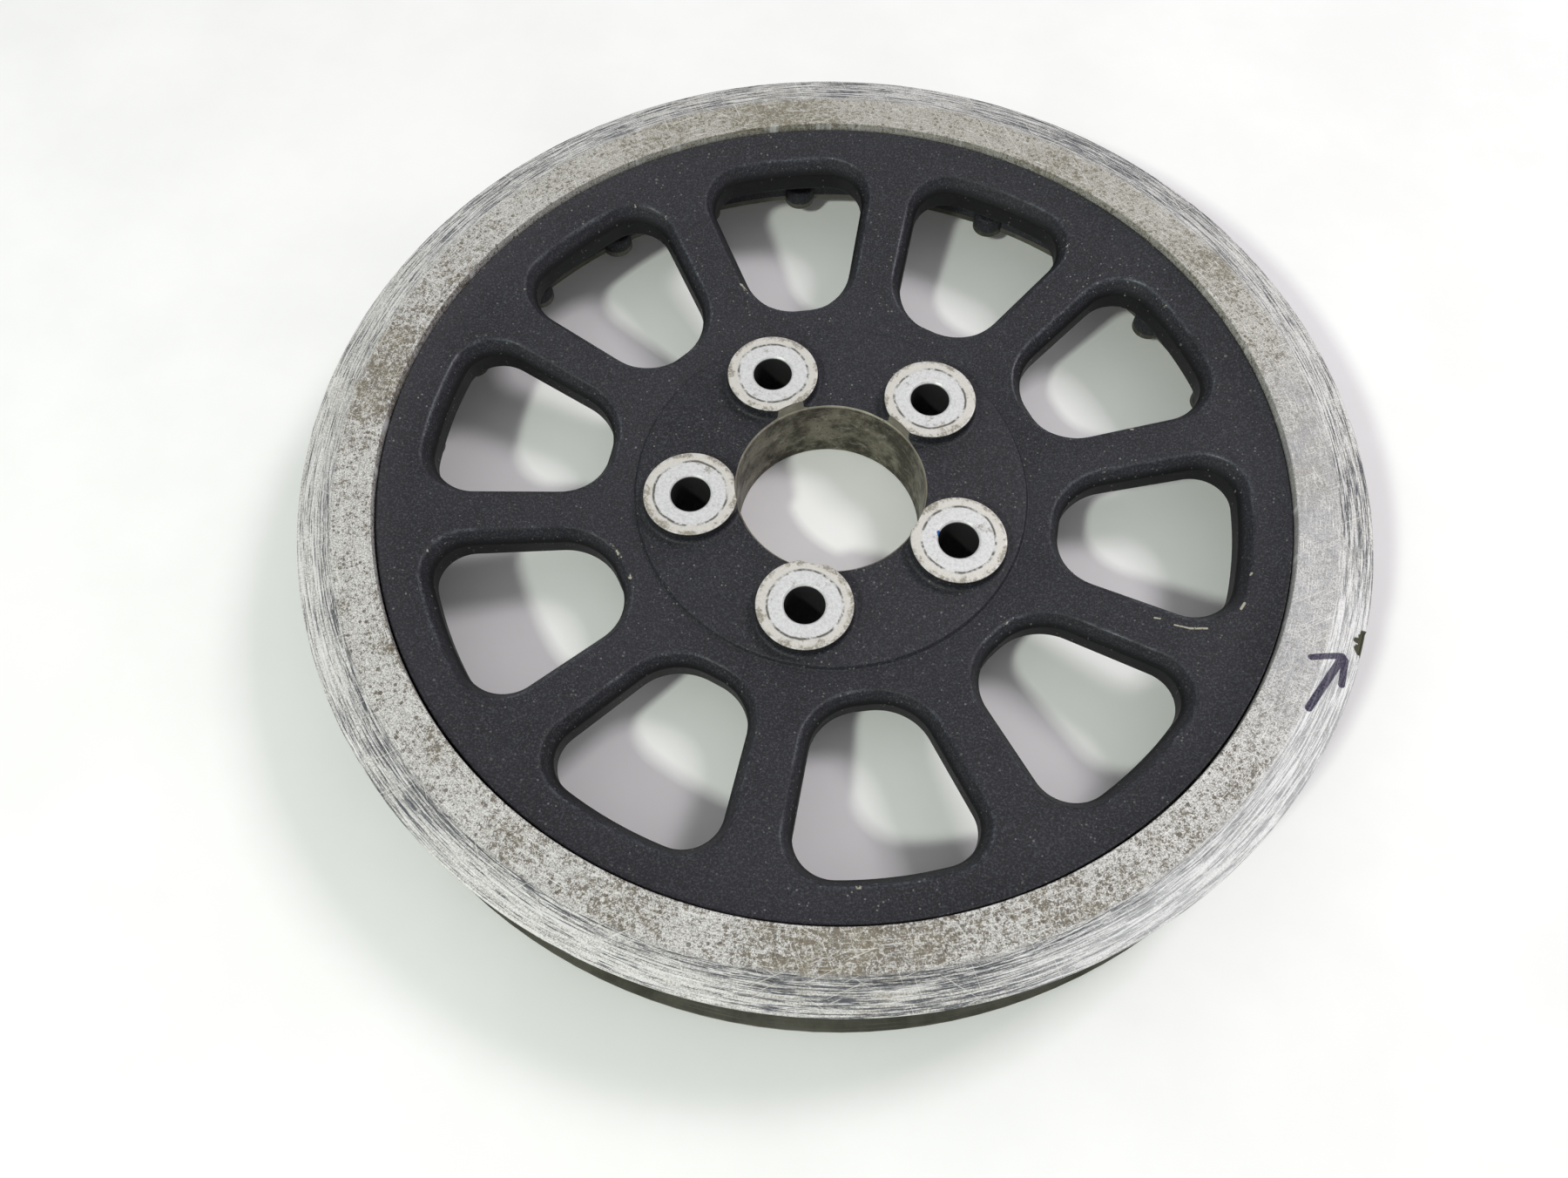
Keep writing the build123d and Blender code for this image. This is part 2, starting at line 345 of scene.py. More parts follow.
def border_mark(distance):
    """Painted shade (below 0) in the opening and low on the border, rubbed (above 0) on its crest.
    """
    places = [0, BORDER_WIDTH * 0.6, BORDER_WIDTH, BORDER_WIDTH + 1]
    return np.interp(distance, places, [-1, -0.6, 1, 0])


def web_sector():
    """One window with its rounded border, opening wall and both faces of the web around it."""
    counts = (26, 46, 16)  # steps along the outer end, the flank and the inner end
    runs = [resample(run, n) for run, n in zip(window_half_outline(), counts)]
    half = np.vstack([runs[0], runs[1][1:], runs[2][1:]])
    outline = mirrored(half, (1, -1, 1, -1))
    at, out = outline[:, :2], outline[:, 2:]
    out = out / np.linalg.norm(out, axis=1)[:, None]
    back_edge = sector_edge(counts, RIM_ROOT_R, HUB_FOOT_R, HALF_WINDOW)
    top_edge = sector_edge(counts, DISH_EDGE_R, WEB_START_R, HALF_WINDOW)
    section = border_section()
    lip = rounded([(BACK_LIP, 0), (0, 0), (0, BACK_LIP)], [0.8], 4)

    layers, marks = [], []
    for t in np.linspace(1, 0, 9):
        xy = between(at + out * lip[0][0], back_edge, t)
        layers.append((xy, web_back(radius(xy))))
        marks.append(0)
    # The lip round the opening on the back is marked -1 for painted shade.
    for d, h in lip[1:]:
        xy = at + out * d
        layers.append((xy, web_back(radius(xy)) + h))
        marks.append(-1)
    for d, h in section:
        xy = at + out * d
        layers.append((xy, web_top(radius(xy)) + h))
        marks.append(border_mark(d))
    last = at + out * section[-1][0]
    for t in np.linspace(0, 1, 13)[1:]:
        xy = between(last, top_edge, t)
        layers.append((xy, web_top(radius(xy))))
        marks.append(0)
    return stack(layers), np.array(marks)[:, None]


def rib():
    """Low stiffening rib along angle 0 on the web's back, its ends inside hub and rim."""
    top = RIB_HALF_WIDTH - RIB_DRAFT
    corners = [(RIB_FOOT, 0.4), (RIB_HALF_WIDTH, -0.5), (top, -RIB_HEIGHT), (0, -RIB_HEIGHT)]
    half = rounded(corners, [1.4, 0.9], 5)
    section = np.vstack([half, half[-2::-1] * np.array([-1, 1])])
    rows = []
    for r in np.linspace(HUB_BACK_R - 1, RIM_INNER_R + 0.5, 24):
        rows.append([(r, y, web_back(r) + h) for y, h in section])
    return np.array(rows)


def dish_edge():
    """Narrow groove between the web's outer edge and the bare ring."""
    wall = DISH_EDGE_R + DISH_GROOVE
    corners = [
        (DISH_EDGE_R, web_top(DISH_EDGE_R)),
        (wall, web_top(wall)),
        (wall, RIM_TOP - REGISTER_DEPTH),
    ]
    return lathe(rounded(corners, [0.3], 4))


# ---------------------------------------------------------------- casting: hub
# Distance from the bolt hole's centre and height, over a boss's edge and down to the hub.
# Its first rows are bare metal, the rest is coated.
BOSS_EDGE = rounded(
    [
        (BOSS_FACE_R, BOSS_TOP),
        (BOSS_R, BOSS_TOP),
        (BOSS_R + BOSS_DRAFT, HUB_TOP),
        (BOSS_R + BOSS_FOOT, HUB_TOP),
    ],
    [0.25, 1.2], 6,
)
BARE_ROWS = 7


def hub_ring(distance):
    """Circle round the bolt hole at angle 0, kept outside the bore, matching the hub wedge."""
    outer_side = np.linspace(0, 81, 23)
    flank_side = np.linspace(81, 137, 19)[1:]
    bore_side = np.linspace(137, 180, 17)[1:]
    t = np.radians(np.concatenate([outer_side, flank_side, bore_side]))
    x = BOLT_CIRCLE_R + distance * np.cos(t)
    xy = mirrored(np.stack([x, distance * np.sin(t)], axis=1))
    return xy * np.maximum(1, BORE_EDGE_R / radius(xy))[:, None]


def hub_wedge_edge(outer_r):
    """Edge of one fifth of the hub, from the bore out to a radius."""
    return sector_edge((22, 18, 16), outer_r, BORE_EDGE_R, HALF_BOLT)


def spread(ring, outer_r, z):
    """Layers that widen a ring around the bolt hole into the hub wedge."""
    edge = hub_wedge_edge(outer_r)
    return [(between(ring, edge, t), z) for t in np.linspace(0, 1, 9)[1:]]


def hub_top_sector():
    """Foot and flank of one boss and the hub face around it."""
    layers = [(hub_ring(d), z) for d, z in BOSS_EDGE[BARE_ROWS:]]
    return stack(layers + spread(layers[-1][0], HUB_FACE_R, HUB_TOP))


def boss_face():
    """Bare face of one boss with the edge of its bolt hole."""
    corners = [
        (BOLT_HOLE_R, HOLE_END_Z),
        (BOLT_HOLE_R, BOSS_TOP - HOLE_CHAMFER),
        (BOLT_HOLE_R + HOLE_CHAMFER, BOSS_TOP),
        (HOLE_LAND_R, BOSS_TOP),
    ]
    face = np.linspace(HOLE_LAND_R, BOSS_EDGE[1][0], 8)[1:-1]
    layers = [(hub_ring(d), z) for d, z in rounded(corners, [0, 0.25], 3)]
    layers += [(hub_ring(d), BOSS_TOP) for d in face]
    layers += [(hub_ring(d), z) for d, z in BOSS_EDGE[1 : BARE_ROWS + 1]]
    return stack(layers)


def hub_back_sector():
    """Mounting face around one bolt hole."""
    corners = [
        (BOLT_HOLE_R, HOLE_END_Z),
        (BOLT_HOLE_R, HOLE_CHAMFER),
        (BOLT_HOLE_R + HOLE_CHAMFER, 0),
        (HOLE_LAND_R + 1, 0),
    ]
    layers = [(hub_ring(d), z) for d, z in rounded(corners, [0, 0.2], 3)]
    return stack(layers + spread(layers[-1][0], HUB_BACK_FACE_R, 0))


def hub_edge():
    """Outer edge of the hub disc, stepping down to the web."""
    foot_r = WEB_START_R + 0.3
    corners = [
        (HUB_FACE_R, HUB_TOP),
        (HUB_R - 0.05, HUB_TOP),
        (WEB_START_R - 0.1, WEB_START_Z),
        (foot_r, web_top(foot_r)),
    ]
    return lathe(rounded(corners, [0.35, 0.3], 4))


def hub_back_edge():
    """Side of the hub behind the web."""
    foot_r = HUB_FOOT_R + 1.5
    corners = [
        (HUB_BACK_FACE_R, 0),
        (HUB_BACK_R, 0),
        (HUB_FOOT_R - 0.8, web_back(HUB_FOOT_R) - 0.5),
        (foot_r, web_back(foot_r)),
    ]
    return lathe(rounded(corners, [0.4, 1.2], 5))


def bore_wall():
    """Bore from the mounting face up to the hub face, and higher where it cuts a boss."""
    t = np.linspace(0, 2 * pi, 1440, endpoint=False)
    start = radians(BOLT_START)
    pitch = 2 * HALF_BOLT
    off_bolt = t - (np.round((t - start) / pitch) * pitch + start)
    product = 2 * BORE_EDGE_R * BOLT_CIRCLE_R
    away = np.sqrt(BORE_EDGE_R**2 + BOLT_CIRCLE_R**2 - product * np.cos(off_bolt))
    top = np.interp(away, BOSS_EDGE[:, 0], BOSS_EDGE[:, 1])
    # Where it cuts a boss, the wall stands a hair inside the boss's own edge.
    inside = BORE_EDGE_R - 0.02
    rows = [
        (BORE_EDGE_R, top),
        (inside, np.maximum(top - 0.15, HUB_TOP)),
        (inside, HUB_TOP + 0 * t),
    ]
    rows += [(BORE_R, z + 0 * t) for z in np.linspace(HUB_TOP - BORE_CHAMFER, BORE_CHAMFER, 12)]
    rows += [(BORE_EDGE_R, 0 * t)]
    return np.array([np.stack([r * np.cos(t), r * np.sin(t), z], axis=1) for r, z in rows])


# ---------------------------------------------------------------- casting: rim
def rim_wall():
    """Inner wall of the rim behind the web."""
    start_r = RIM_ROOT_R - 1.5
    corners = [
        (start_r, web_back(start_r)),
        (RIM_ROOT_R, web_back(RIM_ROOT_R)),
        (RIM_INNER_R, TEETH_BOTTOM),
    ]
    return lathe(rounded(corners, [1.2], 5))


def lug():
    """Rounded pad on the rim's inner wall at angle 0."""
    top = TEETH_BOTTOM + LUG_HEIGHT
    section = rounded([(LUG_R, TEETH_BOTTOM), (LUG_R, top), (0.01, top)], [1.0], 5)
    return lathe(section, 48) + np.array([LUG_CIRCLE_R, 0, 0])


def tooth_outline():
    """Belt teeth and spaces all round, as x and y."""
    middle = TIP_R - TOOTH_DEPTH + GROOVE_R
    turns = np.linspace(pi, pi / 2, 10)
    groove = [(middle + GROOVE_R * cos(a), GROOVE_R * sin(a)) for a in turns]
    half_pitch = pi / TEETH
    mouth = GROOVE_MOUTH / 2
    corner = (sqrt(TIP_R**2 - mouth**2), mouth)
    land = (TIP_R * cos(half_pitch), TIP_R * sin(half_pitch))
    sharp = [0] * (len(groove) - 1)
    half = rounded([*groove, corner, land], [*sharp, TIP_CORNER_R], 5)
    one = np.vstack([half[:0:-1] * np.array([1, -1]), half[:-1]])
    outline = []
    for k in range(TEETH):
        a = 2 * half_pitch * k
        outline.append(one @ np.array([[cos(a), sin(a)], [-sin(a), cos(a)]]))
    return np.vstack(outline)


def toothed_band():
    outline = tooth_outline()
    return stack([(outline, z) for z in np.linspace(TEETH_BOTTOM, TEETH_TOP, 7)])


# ---------------------------------------------------------------- outboard ring
CHIP_ANGLE = 348.9
CHIP_HALF_ANGLE = 1.5
CHIP_WIDTH = 2.4
CHIP_DEPTH = 0.75
CHIP_BITE = 0.0032


def ring_section():
    """Radius and height round the ring, close together on the flat and on the bevel."""
    bore = FACE_R - 0.1
    corners = [
        (bore, RIM_TOP - REGISTER_DEPTH),
        (bore, RIM_TOP),
        (BEVEL_START_R, RIM_TOP),
        (FLANGE_R, RIM_TOP - BEVEL_DROP),
        (FLANGE_R, TEETH_TOP),
        (TIP_R - 8, TEETH_TOP),
    ]
    outline = rounded(corners, [0.3, 4, 0.35, 0.35], 5)
    flat_start = FACE_R + 1
    bore_edge = [p for p in outline if p[0] < flat_start]
    outer = [p for p in outline if p[0] >= flat_start]
    shoulder = [p for p in outer if p[0] < FLANGE_R - 1 and p[1] > RIM_TOP - BEVEL_DROP * 0.6]
    rim = outer[len(shoulder) :]
    flat = [(r, RIM_TOP) for r in np.linspace(flat_start, BEVEL_START_R - 1, 8)]
    ends = [BEVEL_START_R, FLANGE_R]
    heights = [RIM_TOP, RIM_TOP - BEVEL_DROP]
    slope = np.linspace(BEVEL_START_R + 1.2, FLANGE_R - 0.6, 14)
    bevel = [(r, np.interp(r, ends, heights)) for r in slope]
    return [*bore_edge, *flat, *shoulder, *bevel, *rim]


def ring_grid():
    """Bare outboard flange with the chip knocked out of its edge, and how deep the chip is."""
    grid = lathe(ring_section(), 1440)
    r = np.hypot(grid[..., 0], grid[..., 1])
    t = np.degrees(np.arctan2(grid[..., 1], grid[..., 0])) % 360
    along = (t - CHIP_ANGLE) / CHIP_HALF_ANGLE
    wobble = 0.25 * np.sin(9 * along) + 0.15 * np.sin(23 * along + 1)
    width = CHIP_WIDTH * (1 + wobble) * np.sqrt(np.maximum(0, 1 - along**2))
    across = (FLANGE_R - r) / (width + 1e-6)
    dent = np.sqrt(np.where(np.abs(along) < 1, np.clip(1 - across, 0, 1), 0))
    grid[..., 2] -= np.where(grid[..., 2] > TEETH_TOP + 0.4, CHIP_DEPTH * dent, 0)
    grid[..., :2] *= (1 - CHIP_BITE * dent * (grid[..., 2] > TEETH_TOP + 0.1))[..., None]
    return grid, dent


# ---------------------------------------------------------------- shaders
class Shader:
    """Wires the nodes of one procedural material, whose coordinates are in metres."""

    def __init__(self, name, metallic, specular=0.5):
        self.material = bpy.data.materials.new(name)
        self.material.use_nodes = True
        self.tree = self.material.node_tree
        self.tree.nodes.clear()
        self.bsdf = self.tree.nodes.new("ShaderNodeBsdfPrincipled")
        self.bsdf.inputs["Metallic"].default_value = metallic
        self.bsdf.inputs["Specular IOR Level"].default_value = specular
        output = self.tree.nodes.new("ShaderNodeOutputMaterial")
        self.tree.links.new(self.bsdf.outputs[0], output.inputs[0])
        axes = self.tree.nodes.new("ShaderNodeSeparateXYZ")
        self.place = self.tree.nodes.new("ShaderNodeTexCoord").outputs["Object"]
        self.tree.links.new(self.place, axes.inputs[0])
        self.x, self.y, self.z = axes.outputs
        self.r = self.length(self.x, self.y)
        self.angle = self.math("ARCTAN2", self.y, self.x)
        attribute = self.tree.nodes.new("ShaderNodeAttribute")
        attribute.attribute_name = "mark"
        self.mark = attribute.outputs["Fac"]
        self.normal = None

    def feed(self, socket, value):
        if isinstance(value, bpy.types.NodeSocket):
            self.tree.links.new(value, socket)
        else:
            socket.default_value = value

    def math(self, operation, a, b=0.0, clamp=False):
        node = self.tree.nodes.new("ShaderNodeMath")
        node.operation = operation
        node.use_clamp = clamp
        self.feed(node.inputs[0], a)
        self.feed(node.inputs[1], b)
        return node.outputs[0]

    def plus(self, a, b):
        return self.math("ADD", a, b)

    def minus(self, a, b):
        return self.math("SUBTRACT", a, b)

    def times(self, product, *others):
        for value in others:
            product = self.math("MULTIPLY", product, value)
        return product

    def most(self, highest, *others):
        """Largest of the values."""
        for value in others:
            highest = self.math("MAXIMUM", highest, value)
        return highest

    def length(self, a, b):
        return self.math("SQRT", self.plus(self.times(a, a), self.times(b, b)))

    def vector(self, x, y, z):
        node = self.tree.nodes.new("ShaderNodeCombineXYZ")
        for socket, value in zip(node.inputs, (x, y, z)):
            self.feed(socket, value)
        return node.outputs[0]

    def noise(self, scale, detail=3.0, rough=0.55, place=None, twist=0.0):
        node = self.tree.nodes.new("ShaderNodeTexNoise")
        self.feed(node.inputs["Vector"], place or self.place)
        node.inputs["Scale"].default_value = scale
        node.inputs["Detail"].default_value = detail
        node.inputs["Roughness"].default_value = rough
        node.inputs["Distortion"].default_value = twist
        return node.outputs["Fac"]

    def turned(self, across, along, detail=3.0, rough=0.6):
        """Noise drawn out along the turning: its scales across the radius and by angle."""
        place = self.vector(self.times(self.r, across), self.times(self.angle, along), self.z)
        return self.noise(1, detail, rough, place)

    def step(self, value, start, end, low=0.0, high=1.0):
        """Smooth ramp from low at start to high at end."""
        node = self.tree.nodes.new("ShaderNodeMapRange")
        node.interpolation_type = "SMOOTHSTEP"
        for socket, v in zip(node.inputs, (value, start, end, low, high)):
            self.feed(socket, v)
        return node.outputs[0]

    def height(self, start, end, low=0.0, high=1.0):
        """Smooth ramp between two heights in millimetres."""
        return self.step(self.z, start * MM, end * MM, low, high)

    def reach(self, start, end, low=0.0, high=1.0):
        """Smooth ramp between two radii in millimetres."""
        return self.step(self.r, start * MM, end * MM, low, high)

    def toward(self, bearing, start, end, low=0.0, high=1.0):
        """Smooth ramp by the cosine of the angle to a bearing in degrees."""
        nearness = self.math("COSINE", self.minus(self.angle, radians(bearing)))
        return self.step(nearness, start, end, low, high)

    def specks(self, scale, share, size):
        """Scattered dots: share of the cells that hold one, size as a part of a cell."""
        node = self.tree.nodes.new("ShaderNodeTexVoronoi")
        self.feed(node.inputs["Vector"], self.place)
        node.inputs["Scale"].default_value = scale
        chance = self.tree.nodes.new("ShaderNodeSeparateXYZ")
        self.tree.links.new(node.outputs["Color"], chance.inputs[0])
        chosen = self.math("GREATER_THAN", chance.outputs[0], 1 - share)
        dot = self.math("LESS_THAN", node.outputs["Distance"], self.times(chance.outputs[1], size))
        return self.times(chosen, dot)

    def scratch(self, bearing, level):
        """Long thin straight marks that all run one way."""
        c, s = cos(bearing), sin(bearing)
        across = self.minus(self.times(self.y, c), self.times(self.x, s))
        along = self.plus(self.times(self.x, c), self.times(self.y, s))
        place = self.vector(self.times(across, 2200), self.times(along, 45), self.z)
        return self.step(self.noise(1, 2, 0.5, place), level - 0.03, level)

    def stroke(self, start, end, width):
        """Round-ended line drawn on the face between two points, in millimetres."""
        run_x, run_y = [(b - a) * MM for a, b in zip(start, end)]
        from_x = self.minus(self.x, start[0] * MM)
        from_y = self.minus(self.y, start[1] * MM)
        dot = self.plus(self.times(from_x, run_x), self.times(from_y, run_y))
        t = self.math("DIVIDE", dot, run_x**2 + run_y**2, clamp=True)
        off_x = self.minus(from_x, self.times(t, run_x))
        off_y = self.minus(from_y, self.times(t, run_y))
        away = self.length(off_x, off_y)
        return self.step(away, width * 0.42 * MM, width * 0.54 * MM, 1, 0)

    def mix(self, factor, a, b):
        """Colour between a and b."""
        node = self.tree.nodes.new("ShaderNodeMix")
        node.data_type = "RGBA"
        for socket, value in ((node.inputs[0], factor), (node.inputs[6], a), (node.inputs[7], b)):
            self.feed(socket, (*value, 1) if isinstance(value, tuple) else value)
        return node.outputs[2]

    def blend(self, factor, a, b):
        """Number between a and b."""
        return self.plus(self.times(factor, b), self.times(self.minus(1.0, factor), a))

    def bump(self, height, distance):
        """Raises the surface by up to a distance in millimetres, over any earlier bump."""
        node = self.tree.nodes.new("ShaderNodeBump")
        node.inputs["Strength"].default_value = 1.0
        node.inputs["Distance"].default_value = distance * MM
        self.feed(node.inputs["Height"], height)
        if self.normal:
            self.tree.links.new(self.normal, node.inputs["Normal"])
        self.normal = node.outputs[0]

    def finish(self, colour, roughness):
        self.feed(self.bsdf.inputs["Base Color"], colour)
        self.feed(self.bsdf.inputs["Roughness"], roughness)
        if self.normal:
            self.tree.links.new(self.normal, self.bsdf.inputs["Normal"])
        return self.material


# Nicks in the coat beside one window: both ends and the width of each, in millimetres.
NICKS = (
    ((100.1, -29.3), (104.1, -29.9), 0.5),
    ((104.1, -29.9), (108.4, -29.4), 0.6),
    ((94.9, -27.7), (96.3, -27.8), 0.5),
    ((116.8, -22.4), (117.7, -20.5), 0.7),
    ((119.1, -11.4), (119.3, -10.9), 0.6),
)


def powder_coat():
    """Satin black coat: fine grain, painted shade in the openings and low on the borders, handling
    rub on the window borders, pale dust, nicks.
    """
    s = Shader("powder_coat", 0.0, 0.25)
    broad = s.noise(28, 5, 0.6)
    grain = s.noise(1700, 3, 0.75)
    colour = s.mix(s.step(broad, 0.3, 0.7), (0.0145, 0.0145, 0.018), (0.0205, 0.0205, 0.0255))
    colour = s.mix(s.step(grain, 0.5, 0.64, 0, 0.75), colour, (0.055, 0.057, 0.066))
    colour = s.mix(s.step(grain, 0.34, 0.44, 0.6, 0), colour, (0.004, 0.004, 0.005))
    # Painted shade: the opening walls, the back lip and the lower border (mark below 0) go near
    # black.
    colour = s.mix(s.step(s.mark, -0.1, -0.9, 0, 0.9), colour, (0.003, 0.003, 0.0035))

    rub = s.times(s.step(s.mark, 0.1, 1), s.step(s.noise(45, 5, 0.7), 0.42, 0.6))
    spotted = s.times(rub, s.step(s.noise(1200, 4, 0.8), 0.42, 0.58))
    colour = s.mix(s.times(spotted, 0.8), colour, (0.085, 0.095, 0.115))

    dusty = s.step(s.noise(45, 4, 0.6), 0.4, 0.7, 0.3, 1.0)
    dust = s.times(s.most(s.specks(900, 0.3, 0.3), s.specks(330, 0.09, 0.16)), dusty)
    colour = s.mix(s.times(dust, 0.75), colour, (0.2, 0.2, 0.19))

    nicks = s.times(s.step(s.noise(170, 4, 0.7), 0.66, 0.68), s.step(s.mark, 0.2, 0.6))
    rough_edge = s.step(grain, 0.36, 0.44)
    for start, end, width in NICKS:
        nicks = s.most(nicks, s.times(s.stroke(start, end, width), rough_edge))
    colour = s.mix(nicks, colour, (0.33, 0.31, 0.25))

    s.bump(s.noise(900, 2, 0.5), 0.07)
    s.bump(s.noise(90, 3, 0.5), 0.12)
    s.bump(dust, 0.04)
    return s.finish(colour, s.blend(rub, s.step(broad, 0.2, 0.8, 0.5, 0.62), 0.34))


# Felt-pen arrow on the flange: both ends and the width of each stroke, in millimetres.
PEN_STROKES = (
    ((133.2, -50.0), (141.9, -33.8), 2.2),
    ((133.7, -35.6), (141.2, -33.6), 1.8),
    ((141.7, -41.6), (142.6, -34.6), 2.0),
)


def bare_ring():
    """Machined outboard flange: turning marks, scratches, brown road grime, a painted highlight on
    the bevel, chip, pen mark.
    """
    s = Shader("bare_ring", 0.12, 0.3)
    flat = s.reach(BEVEL_START_R - 1.4, BEVEL_START_R + 0.8, 1, 0)
    bevel = s.minus(1.0, flat)
    patches = s.noise(20, 6, 0.7)
    finer = s.noise(2300, 3, 0.75)
    lines = s.turned(3200, 5)
    colour = s.mix(s.step(finer, 0.38, 0.6), (0.28, 0.27, 0.255), (0.64, 0.63, 0.61))
    colour = s.mix(s.step(lines, 0.52, 0.68, 0, 0.45), colour, (0.19, 0.19, 0.19))

    # Brown spots and pits on the flat, fewer on the side that faces a bearing of 0 degrees.
    calmer = s.toward(0, 0.86, 0.98, 1.0, 0.35)
    dirty = s.times(flat, calmer)
    level = s.step(patches, 0.36, 0.64, 0.57, 0.455)
    spots = s.times(s.step(s.minus(s.noise(900, 4, 0.85), level), 0.0, 0.06), dirty)
    colour = s.mix(s.times(spots, 0.88), colour, (0.11, 0.09, 0.065))
    pits = s.times(s.specks(650, 0.5, 0.42), dirty)
    colour = s.mix(s.times(pits, 0.8), colour, (0.09, 0.075, 0.058))

    # Thin films: olive in patches; the flat is darker towards the far side, at a bearing of 85
    # degrees; cool grey where spots are few.
    film = s.times(s.step(patches, 0.46, 0.7), s.step(s.noise(150, 5, 0.7), 0.35, 0.65))
    colour = s.mix(s.times(film, 0.4), colour, (0.24, 0.205, 0.13))
    far_side_dark = s.toward(85, 0.1, 0.9, 0.0, 0.4)
    colour = s.mix(s.times(far_side_dark, flat), colour, (0.24, 0.22, 0.16))
    cool = s.times(s.step(calmer, 1.0, 0.35), s.step(s.noise(75, 6, 0.75), 0.4, 0.62, 0.3, 1.0))
    colour = s.mix(s.times(cool, flat, 0.55), colour, (0.27, 0.275, 0.3))

    # Bevel: polished, with a painted highlight brightest on one side, cut by dark streaks and
    # gouged along its lip.
    polish = s.step(s.turned(1700, 5, 4), 0.42, 0.66, 0, 0.75)
    colour = s.mix(s.times(bevel, polish), colour, (0.66, 0.66, 0.65))
    # Painted highlight: the bevel is lighter towards a bearing of -32 degrees, with fewer dark
    # streaks there.
    bevel_highlight = s.toward(-32, 0.8, 0.97)
    colour = s.mix(s.times(bevel_highlight, bevel, 0.5), colour, (0.8, 0.8, 0.82))
    bevel_level = s.step(s.noise(7, 4, 0.65), 0.35, 0.65, 0.56, 0.47)
    cuts = s.step(s.minus(s.turned(2300, 9, 5, 0.75), bevel_level), 0.0, 0.05)
    cuts = s.times(cuts, bevel, s.blend(bevel_highlight, 1.0, 0.55))
    cuts = s.times(cuts, s.step(s.turned(2500, 50, 4, 0.8), 0.3, 0.46))
    colour = s.mix(s.times(cuts, 0.92), colour, (0.045, 0.05, 0.065))
    lip = s.times(s.reach(140.4, 141.6), s.reach(143, 145.6, 1, 0))
    gouges = s.step(s.turned(2200, 11, 5, 0.8), 0.49, 0.54)
    gouges = s.times(gouges, lip, s.toward(-105, 0.1, 0.7))
    colour = s.mix(s.times(gouges, 0.9), colour, (0.04, 0.043, 0.052))

    glints = s.step(s.turned(2600, 16, 4, 0.7), 0.56, 0.68, 0, 0.7)
    colour = s.mix(glints, colour, (0.76, 0.76, 0.75))
    scratches = s.most(s.scratch(0.6, 0.69), s.scratch(2.1, 0.7), s.scratch(2.8, 0.71))
    colour = s.mix(s.times(scratches, 0.6), colour, (0.66, 0.65, 0.61))

    pen = s.most(0.0, *(s.stroke(*stroke) for stroke in PEN_STROKES))
    pen = s.times(pen, s.step(s.plus(finer, lines), 0.8, 1.15, 0.99, 0.85))
    colour = s.mix(pen, colour, (0.01, 0.004, 0.034))
    chip = s.step(s.mark, 0.02, 0.25)
    colour = s.mix(chip, colour, (0.06, 0.058, 0.035))

    s.bump(lines, 0.01)
    s.bump(s.plus(spots, cuts), 0.025)
    return s.finish(colour, s.blend(s.most(spots, cuts), 0.55, 0.7))


def bare_boss():
    """Machined bolt seats: bright, a warm stained outer zone, a dark witness ring, one dab."""
    s = Shader("bare_boss", 0.2)
    pitch = 2 * HALF_BOLT
    past_bolt = s.math("FLOORED_MODULO", s.plus(s.angle, radians(-BOLT_START) + HALF_BOLT), pitch)
    offset = s.minus(past_bolt, HALF_BOLT)
    outward = s.minus(s.times(s.r, s.math("COSINE", offset)), BOLT_CIRCLE_R * MM)
    sideways = s.times(s.r, s.math("SINE", offset))
    away = s.length(outward, sideways)
    wobble = s.times(s.minus(s.noise(110, 3), 0.5), 1.6 * MM)
    at = s.plus(away, wobble)
    blotch = s.noise(180, 6, 0.75)
    fine = s.noise(1300, 4, 0.8)
    colour = s.mix(s.step(fine, 0.35, 0.6), (0.5, 0.5, 0.5), (0.63, 0.63, 0.635))
    outer = s.step(at, 10.2 * MM, 11.0 * MM)
    colour = s.mix(s.times(outer, 0.55), colour, (0.55, 0.52, 0.45))
    witness = s.times(s.step(at, 10.1 * MM, 10.5 * MM), s.step(at, 10.7 * MM, 11.2 * MM, 1, 0))
    witness = s.times(witness, s.step(blotch, 0.4, 0.54))
    colour = s.mix(s.times(witness, 0.92), colour, (0.05, 0.046, 0.038))
    grime = s.plus(blotch, s.step(at, 11.2 * MM, 13.4 * MM, 0, 0.14))
    smudge = s.times(s.step(grime, 0.57, 0.67), s.step(fine, 0.38, 0.52))
    colour = s.mix(s.times(smudge, 0.75), colour, (0.15, 0.125, 0.085))
    blue_dab = s.stroke((33.3, -11.6), (33.9, -12.6), 1.3)
    colour = s.mix(blue_dab, colour, (0.012, 0.09, 0.3))
    in_hole = s.height(BOSS_TOP - 1.2, BOSS_TOP - 0.2, 1, 0)
    colour = s.mix(in_hole, colour, (0.03, 0.03, 0.03))
    s.bump(s.noise(900, 3, 0.6), 0.01)
    return s.finish(colour, s.blend(smudge, 0.42, 0.6))


